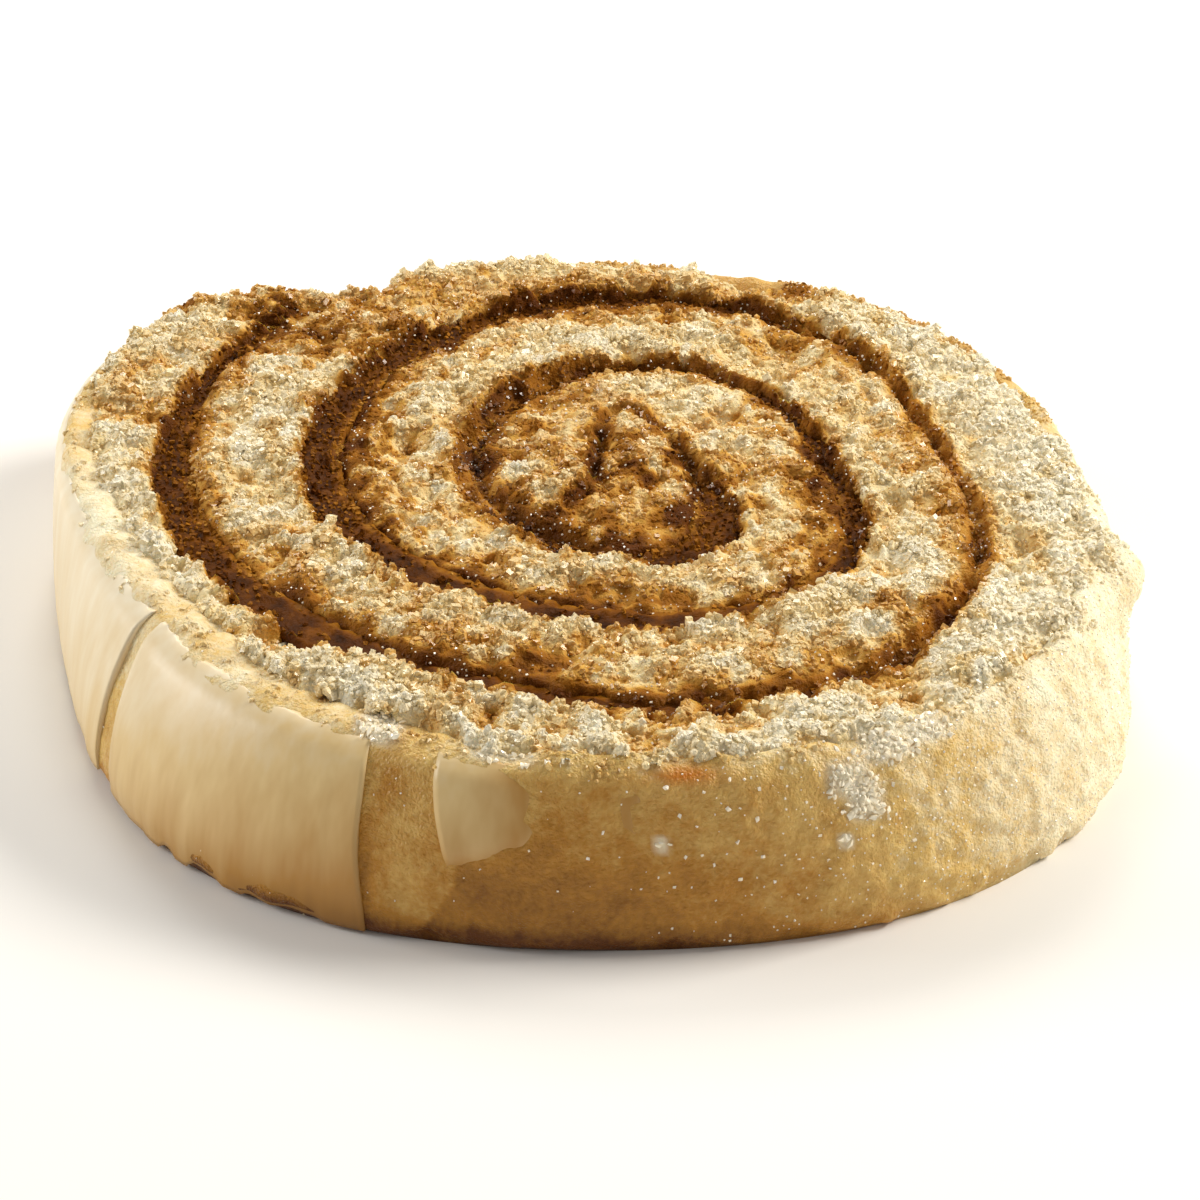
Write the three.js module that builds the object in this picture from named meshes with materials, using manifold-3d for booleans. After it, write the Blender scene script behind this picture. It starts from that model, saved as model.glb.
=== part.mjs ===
// A slice of swiss roll lying on its cut face: a sheet of sponge rolled up with a dark
// filling, and panels of sugar glaze on its skin. Millimetres, +Z up, base on z = 0.
import * as THREE from 'three';
import Module from 'manifold-3d';

const wasm = await Module();
wasm.setup();

// The slice: the rim of its cut face, and the wider belly of the side that the rim leans in from.
// Lobes give each outline its unevenness: [waves round it, size, direction in degrees].
const SLICE_THICKNESS = 14;
const RIM_RADIUS = 40.0;
const RIM_LOBES = [[1, 0.73, 61], [2, 2.61, -49], [3, 0.94, 34], [4, 0.98, -36]];
const BELLY_RADIUS = 43.0;
const BELLY_LOBES = [[1, 0.61, -61], [2, 2.11, -56], [3, 0.66, 18], [4, 1.48, -41]];
const OUTLINE_CENTRE = new THREE.Vector2(-0.32, 1.08);
const SHOULDER_POWER = 2.2;
const RIM_FALL = 0.6;
const RIM_RELIEF_SHARE = 0.25;
const BASE_ROUNDING = 0.7;

// The sheet's outer end: a browned corner, and beside it a dent where the next turn starts.
const SEAM_CORNER = { angle: 136, reach: 1.6, spread: 5 };
const SEAM_DENT = { angle: 119, reach: -4.6, spread: 8 };

// A flap of skin that stands off the right side below the rim.
const SKIN_FLAP = { angle: -14, reach: 2.3, spread: 4.5, height: 12, heightSpread: 3.2 };

// The filling's spiral, clockwise from the core: it moves out by one pitch a turn, each turn
// is an oval pushed to one side, and at the core it is drawn out into a narrow fold.
const SPIRAL_CENTRE = new THREE.Vector2(4.94, 2.83);
const SPIRAL_TURNS = 3.2;
const SPIRAL_PITCH = 11.07;
const SPIRAL_START_RADIUS = 1.04;
const SPIRAL_START_ANGLE = -150;
const SPIRAL_LOBES = [[1, 0.097, 158.3], [2, 0.094, 105.7], [3, 0.033, -48.6]];
const CORE_SHIFT = new THREE.Vector2(-8.57, -2.72);
const CORE_STRETCH = 4.59;
const CORE_NARROWING = 0.45;
const CORE_REACH = 3.1;

// The filling's width: broad on the left and beside the core, thin on the right.
const FILLING_WIDTH = 2.1;
const FILLING_WIDTH_SWING = 0.9;
const FILLING_BROAD_ANGLE = 215;
const CORE_FILLING_WIDTH = 0.9;
const CORE_BROADENING = { turn: 0.68, spread: 0.12, extra: 1.5 };
const FILLING_RAGGEDNESS = 0.35;
const FILLING_SINK = 1.3;
const FILLING_FOOT = 0.6;
const GAP = 0.3;

// Relief of the torn crumb and of the skin.
const CRUMB_WAVES = [{ size: 9, height: 0.45 }, { size: 3.6, height: 0.5 }, { size: 1.9, height: 0.5 }];
const PIT_SPACING = 8;
const PIT_RADIUS = 1.8;
const PIT_DEPTH = 1.6;
const LIP_SINK = 0.8;
const LIP_WIDTH = 1.1;
const SKIN_ROUGHNESS = 0.22;
const RIM_RAGGEDNESS = 0.5;

// Glaze panels: degrees counted from +X, heights as shares of the slice's thickness. The skin
// is seated back under them, so that a panel stands only a little proud of it.
const GLAZE_THICKNESS = 0.7;
const GLAZE_PROUD = 0.25;
const GLAZE_PANELS = [
  { name: 'glaze_left', from: 150, to: 210, bottom: 0.05, top: 0.92 },
  { name: 'glaze_middle', from: 215, to: 250, bottom: 0.05, top: 0.92 },
  { name: 'glaze_front', from: 257.5, to: 272.5, bottom: 0.05, top: 0.92 },
];

// Mesh fineness: the top is a disc of rings with six more points each, the side hangs from
// the outermost ring in rows.
const TOP_RINGS = 24;
const RIM_POINTS = 6 * TOP_RINGS;
const SIDE_ROWS = [0, 0.05, 0.2, 0.35, 0.5, 0.65, 0.8, 0.92, 1];
const SPIRAL_STEPS_PER_TURN = 56;

const radians = THREE.MathUtils.degToRad;

// Repeatable scatter between 0 and 1 for a grid cell, and smooth noise between -1 and 1.
function scatter(column, row, seed) {
  const wave = Math.sin(column * 127.1 + row * 311.7 + seed * 74.7) * 43758.5453;
  return wave - Math.floor(wave);
}

function noise(x, y, seed) {
  const column = Math.floor(x);
  const row = Math.floor(y);
  const u = THREE.MathUtils.smoothstep(x - column, 0, 1);
  const v = THREE.MathUtils.smoothstep(y - row, 0, 1);
  const low = THREE.MathUtils.lerp(scatter(column, row, seed), scatter(column + 1, row, seed), u);
  const high = THREE.MathUtils.lerp(scatter(column, row + 1, seed), scatter(column + 1, row + 1, seed), u);
  return 2 * THREE.MathUtils.lerp(low, high, v) - 1;
}

// How far an angle in degrees is from another, as a bell that is 1 where they meet.
function bell(angle, at, spread) {
  const away = THREE.MathUtils.euclideanModulo(angle - at + 180, 360) - 180;
  return Math.exp(-((away / spread) ** 2));
}

function lobeShare(lobes, angle) {
  return lobes.reduce(
    (sum, [waves, size, direction]) => sum + size * Math.cos(waves * radians(angle - direction)), 0);
}

// Radius of the outline at an angle in degrees and a share of the thickness.
function outlineRadius(angle, share) {
  const belly = BELLY_RADIUS + lobeShare(BELLY_LOBES, angle);
  const rim = RIM_RADIUS + lobeShare(RIM_LOBES, angle);
  const seam = SEAM_CORNER.reach * bell(angle, SEAM_CORNER.angle, SEAM_CORNER.spread)
    + SEAM_DENT.reach * bell(angle, SEAM_DENT.angle, SEAM_DENT.spread);
  return THREE.MathUtils.lerp(belly, rim, share ** SHOULDER_POWER) + seam;
}

function isGlazed(angle) {
  const turned = THREE.MathUtils.euclideanModulo(angle, 360);
  return GLAZE_PANELS.some((panel) => turned > panel.from - 1 && turned < panel.to + 1);
}

// A point of the skin at an angle in degrees and a share of the thickness, pushed out by extra.
function skinPoint(angle, share, extra = 0) {
  const undercut = BASE_ROUNDING * Math.max(0, 1 - share / SIDE_ROWS[1]);
  const seat = isGlazed(angle) && share > 0 && share < 1 ? GAP + GLAZE_THICKNESS - GLAZE_PROUD : 0;
  const height = share * SLICE_THICKNESS;
  const flap = SKIN_FLAP.reach * bell(angle, SKIN_FLAP.angle, SKIN_FLAP.spread)
    * Math.exp(-(((height - SKIN_FLAP.height) / SKIN_FLAP.heightSpread) ** 2));
  const along = radians(angle) * RIM_RADIUS;
  const rough = isGlazed(angle) ? 0 : SKIN_ROUGHNESS * noise(along / 2.4, height / 2.4, 5)
    + RIM_RAGGEDNESS * share ** 3 * noise(along / 3.2, 0, 6);
  const radius = outlineRadius(angle, share) - undercut - seat + flap + rough + extra;
  return new THREE.Vector3(
    OUTLINE_CENTRE.x + radius * Math.cos(radians(angle)),
    OUTLINE_CENTRE.y + radius * Math.sin(radians(angle)),
    height);
}

// The spiral's middle line at a number of turns from the core.
function spiralPoint(turn) {
  const radius = SPIRAL_START_RADIUS + SPIRAL_PITCH * turn;
  const angle = SPIRAL_START_ANGLE - 360 * turn;
  const oval = radius * (1 + lobeShare(SPIRAL_LOBES, angle));
  const core = Math.exp(-radius / CORE_REACH);
  return new THREE.Vector2(
    oval * Math.cos(radians(angle)) * (1 - CORE_NARROWING * CORE_STRETCH * core),
    oval * Math.sin(radians(angle)) * (1 + CORE_STRETCH * core),
  ).add(SPIRAL_CENTRE).addScaledVector(CORE_SHIFT, core);
}

function fillingWidth(turn) {
  const angle = SPIRAL_START_ANGLE - 360 * turn;
  const swing = FILLING_WIDTH_SWING * Math.cos(radians(angle - FILLING_BROAD_ANGLE));
  const grown = THREE.MathUtils.smoothstep(turn, 0.4, 0.7);
  const beside = CORE_BROADENING.extra
    * Math.exp(-(((turn - CORE_BROADENING.turn) / CORE_BROADENING.spread) ** 2));
  const broad = THREE.MathUtils.lerp(CORE_FILLING_WIDTH, FILLING_WIDTH + swing + beside, grown);
  const ends = Math.min(1, 0.5 + 12 * turn, 0.3 + 6 * (SPIRAL_TURNS - turn));
  return broad * ends + grown * FILLING_RAGGEDNESS * noise(turn * 26, 0, 9);
}

// The spiral as stations: each has its middle, the direction to its left and its turn.
function spiralStations() {
  const steps = Math.round(SPIRAL_TURNS * SPIRAL_STEPS_PER_TURN);
  const turnAt = (step) => SPIRAL_TURNS * (0.35 * step / steps + 0.65 * (step / steps) ** 0.62);
  return Array.from({ length: steps + 1 }, (_, step) => {
    const turn = turnAt(step);
    const ahead = spiralPoint(turn + 0.002).sub(spiralPoint(Math.max(0, turn - 0.002))).normalize();
    return { turn, middle: spiralPoint(turn), left: new THREE.Vector2(-ahead.y, ahead.x) };
  });
}

const STATIONS = spiralStations();

// Distance from a point of the cut face to the edge of the filling.
function distanceToFilling(x, y) {
  return STATIONS.reduce((nearest, { turn, middle }) => {
    const away = Math.hypot(x - middle.x, y - middle.y) - fillingWidth(turn) / 2;
    return Math.min(nearest, away);
  }, Infinity);
}

// Relief of the torn crumb: uneven waves, pits, and a sunk lip along the filling.
function crumbHeight(x, y) {
  const waves = CRUMB_WAVES.reduce(
    (sum, wave, index) => sum + wave.height * noise(x / wave.size, y / wave.size, index + 1), 0);
  const lip = LIP_SINK * Math.exp(-((distanceToFilling(x, y) / LIP_WIDTH) ** 2));
  return waves - pitDepth(x, y) - lip;
}

function pitDepth(x, y) {
  let deepest = 0;
  const column = Math.floor(x / PIT_SPACING);
  const row = Math.floor(y / PIT_SPACING);
  for (let i = column - 1; i <= column + 1; i += 1) {
    for (let j = row - 1; j <= row + 1; j += 1) {
      const pitX = (i + scatter(i, j, 21)) * PIT_SPACING;
      const pitY = (j + scatter(i, j, 22)) * PIT_SPACING;
      const radius = PIT_RADIUS * (0.5 + scatter(i, j, 23));
      const near = Math.exp(-(((x - pitX) ** 2 + (y - pitY) ** 2) / radius ** 2));
      deepest = Math.max(deepest, PIT_DEPTH * scatter(i, j, 24) * near);
    }
  }
  return deepest;
}

function makeGeometry(points, triangles) {
  const geometry = new THREE.BufferGeometry().setFromPoints(points);
  geometry.setIndex(triangles.flat());
  return geometry;
}

function quad(a, b, c, d) {
  return [[a, b, c], [a, c, d]];
}

// The cut face's points, ring by ring from the middle; the last ring is the rim.
function topPoints() {
  const middle = new THREE.Vector3(OUTLINE_CENTRE.x, OUTLINE_CENTRE.y, SLICE_THICKNESS);
  const points = [middle];
  for (let ring = 1; ring <= TOP_RINGS; ring += 1) {
    for (let step = 0; step < 6 * ring; step += 1) {
      const inside = ring < TOP_RINGS;
      const jitter = inside ? 0.5 : 0;
      const angle = 360 * (step + jitter * (scatter(ring, step, 31) - 0.5)) / (6 * ring);
      const share = (ring + jitter * (scatter(ring, step, 32) - 0.5)) / TOP_RINGS;
      const rim = skinPoint(angle, 1);
      const point = new THREE.Vector3().lerpVectors(middle, rim, share);
      const nearRim = THREE.MathUtils.smoothstep(share, 0.88, 1);
      const relief = crumbHeight(point.x, point.y) * (1 - (1 - RIM_RELIEF_SHARE) * nearRim);
      point.z = SLICE_THICKNESS + relief - RIM_FALL * nearRim;
      points.push(point);
    }
  }
  return points;
}

// Triangles between ring and ring - 1 of a disc whose rings have six more points each.
function ringTriangles(ring) {
  const triangles = [];
  const first = (r) => (r === 0 ? 0 : 1 + 3 * r * (r - 1));
  const at = (r, index) => (r === 0 ? 0 : first(r) + index % (6 * r));
  for (let sector = 0; sector < 6; sector += 1) {
    for (let k = 0; k < ring; k += 1) {
      const outer = sector * ring + k;
      const inner = sector * (ring - 1) + k;
      triangles.push([at(ring, outer), at(ring, outer + 1), at(ring - 1, inner)]);
      if (k < ring - 1) {
        triangles.push([at(ring, outer + 1), at(ring - 1, inner + 1), at(ring - 1, inner)]);
      }
    }
  }
  return triangles;
}

// The slice without its filling: cut face, bulging skin and flat base as one closed surface.
function sliceGeometry() {
  const points = topPoints();
  const triangles = [];
  for (let ring = 1; ring <= TOP_RINGS; ring += 1) {
    triangles.push(...ringTriangles(ring));
  }
  let upper = points.length - RIM_POINTS;
  for (const share of SIDE_ROWS.slice(0, -1).reverse()) {
    const lower = points.length;
    for (let step = 0; step < RIM_POINTS; step += 1) {
      points.push(skinPoint(360 * step / RIM_POINTS, share));
    }
    for (let step = 0; step < RIM_POINTS; step += 1) {
      const next = (step + 1) % RIM_POINTS;
      triangles.push(...quad(upper + step, lower + step, lower + next, upper + next));
    }
    upper = lower;
  }
  const foot = points.push(new THREE.Vector3(OUTLINE_CENTRE.x, OUTLINE_CENTRE.y, 0)) - 1;
  for (let step = 0; step < RIM_POINTS; step += 1) {
    triangles.push([upper + (step + 1) % RIM_POINTS, upper + step, foot]);
  }
  return makeGeometry(points, triangles);
}

// A band that follows the spiral. The section gives its points at each station, counter-
// clockwise as seen when looking back along the band.
function bandGeometry(section) {
  const points = STATIONS.flatMap(section);
  const size = points.length / STATIONS.length;
  const triangles = [];
  for (let station = 0; station < STATIONS.length - 1; station += 1) {
    for (let side = 0; side < size; side += 1) {
      const here = station * size;
      const next = (side + 1) % size;
      triangles.push(...quad(here + side, here + size + side, here + size + next, here + next));
    }
  }
  const last = points.length - size;
  for (let corner = 1; corner < size - 1; corner += 1) {
    triangles.push([0, corner, corner + 1]);
    triangles.push([last, last + corner + 1, last + corner]);
  }
  return makeGeometry(points, triangles);
}

function across(station, offset, height) {
  const place = station.middle.clone().addScaledVector(station.left, offset);
  return new THREE.Vector3(place.x, place.y, height);
}

// The slot that the filling leaves in the sponge: it is cut right through.
function slotSection(station) {
  const half = fillingWidth(station.turn) / 2 + GAP;
  const above = SLICE_THICKNESS * 1.5;
  return [
    across(station, half, above),
    across(station, half, -1),
    across(station, -half, -1),
    across(station, -half, above),
  ];
}

// The filling: its top is sunk below the cut face and dished, its foot is just off the base.
function fillingSection(station) {
  const half = fillingWidth(station.turn) / 2;
  const { x, y } = station.middle;
  const top = SLICE_THICKNESS - FILLING_SINK + 0.5 * noise(x / 3, y / 3, 12);
  const lift = 0.25 * noise(x / 1.7, y / 1.7, 13);
  return [
    across(station, half, top + lift),
    across(station, half, FILLING_FOOT),
    across(station, -half, FILLING_FOOT),
    across(station, -half, top - lift),
    across(station, 0, top - 0.35),
  ];
}

// A glaze panel: a thin shell that follows the skin between two angles, with a crisp edge.
function glazeGeometry({ from, to, bottom, top }) {
  const step = 360 / RIM_POINTS;
  const columns = Math.round((to - from) / step);
  const shares = SIDE_ROWS.filter((share) => share >= bottom && share <= top);
  const rows = shares.length;
  const layer = (extra) => Array.from({ length: columns + 1 }, (_, column) => from + column * step)
    .flatMap((angle) => shares.map((share) => skinPoint(angle, share, extra)));
  const points = [...layer(GAP), ...layer(GAP + GLAZE_THICKNESS)];
  const outer = points.length / 2;
  const triangles = [];
  const at = (column, row) => column * rows + row;
  for (let column = 0; column < columns; column += 1) {
    for (let row = 0; row < rows - 1; row += 1) {
      const corners = [at(column, row), at(column + 1, row), at(column + 1, row + 1), at(column, row + 1)];
      const [a, b, c, d] = corners;
      triangles.push(...quad(a + outer, b + outer, c + outer, d + outer));
      triangles.push(...quad(d, c, b, a));
    }
  }
  const edge = [
    ...Array.from({ length: columns }, (_, column) => at(column, 0)),
    ...Array.from({ length: rows - 1 }, (_, row) => at(columns, row)),
    ...Array.from({ length: columns }, (_, column) => at(columns - column, rows - 1)),
    ...Array.from({ length: rows - 1 }, (_, row) => at(0, rows - 1 - row)),
  ];
  edge.forEach((corner, index) => {
    const next = edge[(index + 1) % edge.length];
    triangles.push(...quad(corner, next, next + outer, corner + outer));
  });
  return makeGeometry(points, triangles);
}

function toSolid(geometry) {
  const vertProperties = geometry.getAttribute('position').array;
  const triVerts = new Uint32Array(geometry.getIndex().array);
  return new wasm.Manifold(new wasm.Mesh({ numProp: 3, vertProperties, triVerts }));
}

function toGeometry(solid) {
  const { vertProperties, triVerts } = solid.getMesh();
  const geometry = new THREE.BufferGeometry();
  geometry.setAttribute('position', new THREE.BufferAttribute(vertProperties, 3));
  geometry.setIndex(new THREE.BufferAttribute(triVerts, 1));
  return geometry;
}

function spongeGeometry() {
  const slot = toSolid(bandGeometry(slotSection));
  return toGeometry(toSolid(sliceGeometry()).subtract(slot));
}

function addPart(group, name, geometry, color, roughness) {
  const drawn = geometry.toNonIndexed();
  drawn.computeVertexNormals();
  const material = new THREE.MeshStandardMaterial({ color, roughness, metalness: 0 });
  const mesh = new THREE.Mesh(drawn, material);
  mesh.name = name;
  group.add(mesh);
}

const slice = new THREE.Group();
slice.name = 'swiss_roll_slice';
addPart(slice, 'sponge', spongeGeometry(), '#dcc492', 0.9);
addPart(slice, 'filling', bandGeometry(fillingSection), '#5a3312', 0.35);
for (const panel of GLAZE_PANELS) {
  addPart(slice, panel.name, glazeGeometry(panel), '#efe0bd', 0.4);
}

export default slice;
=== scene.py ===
# %% [markdown]
# # A slice of swiss roll, lying on its cut face
# The slice is a rolled sheet of sponge with a dark filling between its turns. Its skin is
# baked gold, with thin panels of sugar glaze on the left and front. The CAD solids give the
# size and the place of everything; this lesson dresses them with crumb, filling and glaze.

# %% Load the frame
import math

import bpy
import numpy as np
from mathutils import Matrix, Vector


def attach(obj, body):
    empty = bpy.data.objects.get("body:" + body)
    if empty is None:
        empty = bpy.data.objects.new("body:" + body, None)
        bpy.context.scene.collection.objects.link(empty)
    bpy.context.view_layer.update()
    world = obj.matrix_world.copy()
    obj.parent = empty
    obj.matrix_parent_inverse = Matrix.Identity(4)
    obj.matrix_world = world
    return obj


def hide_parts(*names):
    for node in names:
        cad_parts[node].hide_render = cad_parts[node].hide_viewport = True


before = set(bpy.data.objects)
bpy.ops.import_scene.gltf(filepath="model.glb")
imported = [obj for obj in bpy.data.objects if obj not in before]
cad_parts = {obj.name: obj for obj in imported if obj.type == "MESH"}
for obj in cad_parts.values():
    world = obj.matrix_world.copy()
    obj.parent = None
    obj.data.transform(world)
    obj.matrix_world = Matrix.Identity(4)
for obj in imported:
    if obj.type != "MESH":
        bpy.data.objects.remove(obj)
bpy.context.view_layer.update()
MM = 0.001

# %% [markdown]
# ## The view
# The photograph looks down on the slice at thirty degrees from close by, through a long
# lens. A camera on a circle round a target point is easy to set from three numbers: how
# high it looks from, how far away it is, and the lens.

# %% Camera
CAMERA_LENS = 140.12
CAMERA_SENSOR = 36
CAMERA_ELEVATION = math.radians(30.1)
CAMERA_DISTANCE = 368.2 * MM
CAMERA_TARGET = Vector((1.37, 6.91, 0)) * MM

scene = bpy.context.scene
camera = bpy.data.objects.new("camera", bpy.data.cameras.new("camera"))
scene.collection.objects.link(camera)
camera.data.lens = CAMERA_LENS
camera.data.sensor_width = CAMERA_SENSOR
camera.data.clip_start = 0.01
backward = Vector((0, -math.cos(CAMERA_ELEVATION), math.sin(CAMERA_ELEVATION)))
camera.location = CAMERA_TARGET + backward * CAMERA_DISTANCE
camera.rotation_euler = (-backward).to_track_quat("-Z", "Y").to_euler()
scene.camera = camera
print("camera at mm:", [round(value / MM, 1) for value in camera.location])

# %% [markdown]
# ## Nodes by one small function
# Every material and every node tree below is built by the same helper: it adds a node,
# fills its settings and joins its inputs. Colours are written as they look on a screen,
# so one function turns them to the linear values that a shader works in.


# %% Node and colour helpers
def add_node(tree, kind, settings=None, links=None):
    """A new node; settings are properties or input values, links are input to socket."""
    node = tree.nodes.new(kind)
    for key, value in (settings or {}).items():
        if isinstance(key, str) and hasattr(node, key):
            setattr(node, key, value)
        else:
            node.inputs[key].default_value = value
    for key, socket in (links or {}).items():
        tree.links.new(socket, node.inputs[key])
    return node


def screen_colour(code):
    """A screen colour such as 'f1e4c4' as linear red, green, blue and alpha."""
    shares = [int(code[at:at + 2], 16) / 255 for at in (0, 2, 4)]
    linear = [s / 12.92 if s <= 0.04045 else ((s + 0.055) / 1.055) ** 2.4 for s in shares]
    return (*linear, 1)


def new_material(name):
    """An empty material and its node tree."""
    material = bpy.data.materials.new(name)
    material.use_nodes = True
    material.node_tree.nodes.clear()
    return material, material.node_tree


def add_surface(tree, settings, links=None):
    """Ends a material's tree in one surface with these settings and joined inputs."""
    surface = add_node(tree, "ShaderNodeBsdfPrincipled", settings, links)
    add_node(tree, "ShaderNodeOutputMaterial", None, {"Surface": surface.outputs["BSDF"]})


# %% [markdown]
# ## Floor and light
# The photograph shows the slice on plain white. A lamp on its right lights the cut face
# and the right of the skin, a softer one behind it and one on its left show the edges, and
# the front of the skin has only the light that comes back from the floor and the sky.

# %% Floor, sky and lamps
FLOOR_HALF_SIDE = 3.0
SKY_STRENGTH = 0.345

floor_mesh = bpy.data.meshes.new("floor")
corners = [(-1, -1), (1, -1), (1, 1), (-1, 1)]
floor_mesh.from_pydata([(x * FLOOR_HALF_SIDE, y * FLOOR_HALF_SIDE, 0) for x, y in corners], [],
                       [(0, 1, 2, 3)])
floor = bpy.data.objects.new("floor", floor_mesh)
scene.collection.objects.link(floor)
paper, tree = new_material("matt white paper")
add_surface(tree, {"Base Color": screen_colour("f4f2ee"), "Roughness": 0.9})
floor_mesh.materials.append(paper)

sky = bpy.data.worlds.new("pale sky")
scene.world = sky
sky.use_nodes = True
sky.node_tree.nodes["Background"].inputs["Color"].default_value = screen_colour("f6f4f0")
sky.node_tree.nodes["Background"].inputs["Strength"].default_value = SKY_STRENGTH

LAMPS = [
    ("key lamp", (0.50, 0.14, 0.38), 0.24, 4.1, "fffaf2"),
    ("back lamp", (-0.05, 0.50, 0.50), 0.25, 1.9, "fffcf8"),
    ("left lamp", (-0.55, 0.10, 0.24), 0.25, 1.8, "fffcf8"),
]
for name, place, size, power, tint in LAMPS:
    lamp = bpy.data.objects.new(name, bpy.data.lights.new(name, "AREA"))
    lamp.data.size = size
    lamp.data.energy = power
    lamp.data.color = screen_colour(tint)[:3]
    lamp.location = place
    lamp.rotation_euler = (-Vector(place)).to_track_quat("-Z", "Y").to_euler()
    scene.collection.objects.link(lamp)
scene.view_settings.view_transform = "Standard"

# %% [markdown]
# ## The roll's own laws
# Three rules fix the shape, and they are the ones the CAD solids follow: the outline of
# the cut face, the wider belly of the side below it, and the spiral of the filling. Each
# is a round shape with a few waves added, so a handful of sizes describes an uneven cake.

# %% Outline of the slice, in millimetres and degrees
SLICE_THICKNESS = 14
RIM_RADIUS = 40.0
RIM_LOBES = [(1, 0.73, 61), (2, 2.61, -49), (3, 0.94, 34), (4, 0.98, -36)]
BELLY_RADIUS = 43.0
BELLY_LOBES = [(1, 0.61, -61), (2, 2.11, -56), (3, 0.66, 18), (4, 1.48, -41)]
OUTLINE_CENTRE = (-0.32, 1.08)
SHOULDER_POWER = 2.2
SEAM_CORNER = (136, 1.6, 5)
SEAM_DENT = (119, -4.6, 8)
SKIN_FLAP = (-14, 2.3, 4.5)
SKIN_FLAP_HEIGHT = 12
SKIN_FLAP_DEPTH = 3.2
CRUMB_INSET = 0.25
LIP_REACH = 2.0
LIP_SIDE = (150, 175, 250, 262)


def smooth_step(value, low, high):
    """Rises softly from 0 at low to 1 at high."""
    t = np.clip((value - low) / (high - low), 0, 1)
    return t * t * (3 - 2 * t)


def lobe_sum(lobes, angle):
    """Waves round a circle: each is (how many, how big, which way in degrees)."""
    return sum(size * np.cos(waves * np.radians(angle - toward)) for waves, size, toward in lobes)


def bell(angle, spot):
    """A bump round the rim: spot is (angle, height, width)."""
    at, height, width = spot
    away = (angle - at + 180) % 360 - 180
    return height * np.exp(-(away / width) ** 2)


def skin_radius(angle, share):
    """Radius of the skin at an angle and a share of the slice's thickness."""
    belly = BELLY_RADIUS + lobe_sum(BELLY_LOBES, angle)
    rim = RIM_RADIUS + lobe_sum(RIM_LOBES, angle)
    lean = share ** SHOULDER_POWER
    above_flap = (share * SLICE_THICKNESS - SKIN_FLAP_HEIGHT) / SKIN_FLAP_DEPTH
    flap = bell(angle, SKIN_FLAP) * np.exp(-above_flap ** 2)
    return belly + (rim - belly) * lean + bell(angle, SEAM_CORNER) + bell(angle, SEAM_DENT) + flap


def lip_width(angle):
    """How far the smooth skin laps over the rim before the crumb: wide by the panels."""
    starts, full, thins, ends = LIP_SIDE
    left_side = smooth_step(angle % 360, starts, full) * (1 - smooth_step(angle % 360, thins, ends))
    return CRUMB_INSET + LIP_REACH * left_side


def around(angle, radius):
    """Flat place at an angle and radius round the slice's middle."""
    x = OUTLINE_CENTRE[0] + radius * np.cos(np.radians(angle))
    y = OUTLINE_CENTRE[1] + radius * np.sin(np.radians(angle))
    return x, y


def skin_angle(x, y):
    """Angle in degrees, 0 to 360, of flat places round the slice's middle."""
    return np.degrees(np.arctan2(y - OUTLINE_CENTRE[1], x - OUTLINE_CENTRE[0])) % 360


# %% Spiral of the filling
SPIRAL_CENTRE = (4.94, 2.83)
SPIRAL_TURNS = 3.2
SPIRAL_PITCH = 11.07
SPIRAL_START_RADIUS = 1.04
SPIRAL_START_ANGLE = -150
SPIRAL_LOBES = [(1, 0.097, 158.3), (2, 0.094, 105.7), (3, 0.033, -48.6)]
CORE_SHIFT = (-8.57, -2.72)
CORE_STRETCH = 4.59
CORE_NARROWING = 0.45
CORE_REACH = 3.1
FILLING_WIDTH = 2.1
FILLING_WIDTH_SWING = 0.9
FILLING_BROAD_ANGLE = 215
CORE_FILLING_WIDTH = 0.9
CORE_BROADENING = (0.68, 1.5, 0.12)
STATIONS_PER_TURN = 220


def spiral_point(turn):
    """Place of the filling's middle line after so many turns from the core."""
    radius = SPIRAL_START_RADIUS + SPIRAL_PITCH * turn
    angle = SPIRAL_START_ANGLE - 360 * turn
    oval = radius * (1 + lobe_sum(SPIRAL_LOBES, angle))
    core = np.exp(-radius / CORE_REACH)
    x = oval * np.cos(np.radians(angle)) * (1 - CORE_NARROWING * CORE_STRETCH * core)
    y = oval * np.sin(np.radians(angle)) * (1 + CORE_STRETCH * core)
    return np.stack([x + SPIRAL_CENTRE[0] + CORE_SHIFT[0] * core,
                     y + SPIRAL_CENTRE[1] + CORE_SHIFT[1] * core], axis=-1)


def filling_width(turn):
    """Width of the filling after so many turns: broad on the left, thin on the right."""
    angle = SPIRAL_START_ANGLE - 360 * turn
    swing = FILLING_WIDTH_SWING * np.cos(np.radians(angle - FILLING_BROAD_ANGLE))
    at, extra, spread = CORE_BROADENING
    beside_core = extra * np.exp(-((turn - at) / spread) ** 2)
    grown = smooth_step(turn, 0.4, 0.7)
    broad = CORE_FILLING_WIDTH + grown * (FILLING_WIDTH + swing + beside_core - CORE_FILLING_WIDTH)
    ends = np.minimum(1, np.minimum(0.5 + 12 * turn, 0.3 + 6 * (SPIRAL_TURNS - turn)))
    return broad * ends


# How strongly the filling shows after so many turns: dark and deep, or thin and covered.
FILLING_STRENGTH = [(0, 0.55), (0.2, 0.4), (0.35, 0.2), (0.5, 0.35), (0.68, 1), (0.85, 0.7),
                    (1.05, 0.3), (1.3, 0.75), (1.6, 0.8), (1.8, 1), (2.1, 1), (2.35, 0.8),
                    (2.6, 0.4), (2.8, 0.7), (3.0, 0.95), (3.2, 0.8)]

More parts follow.
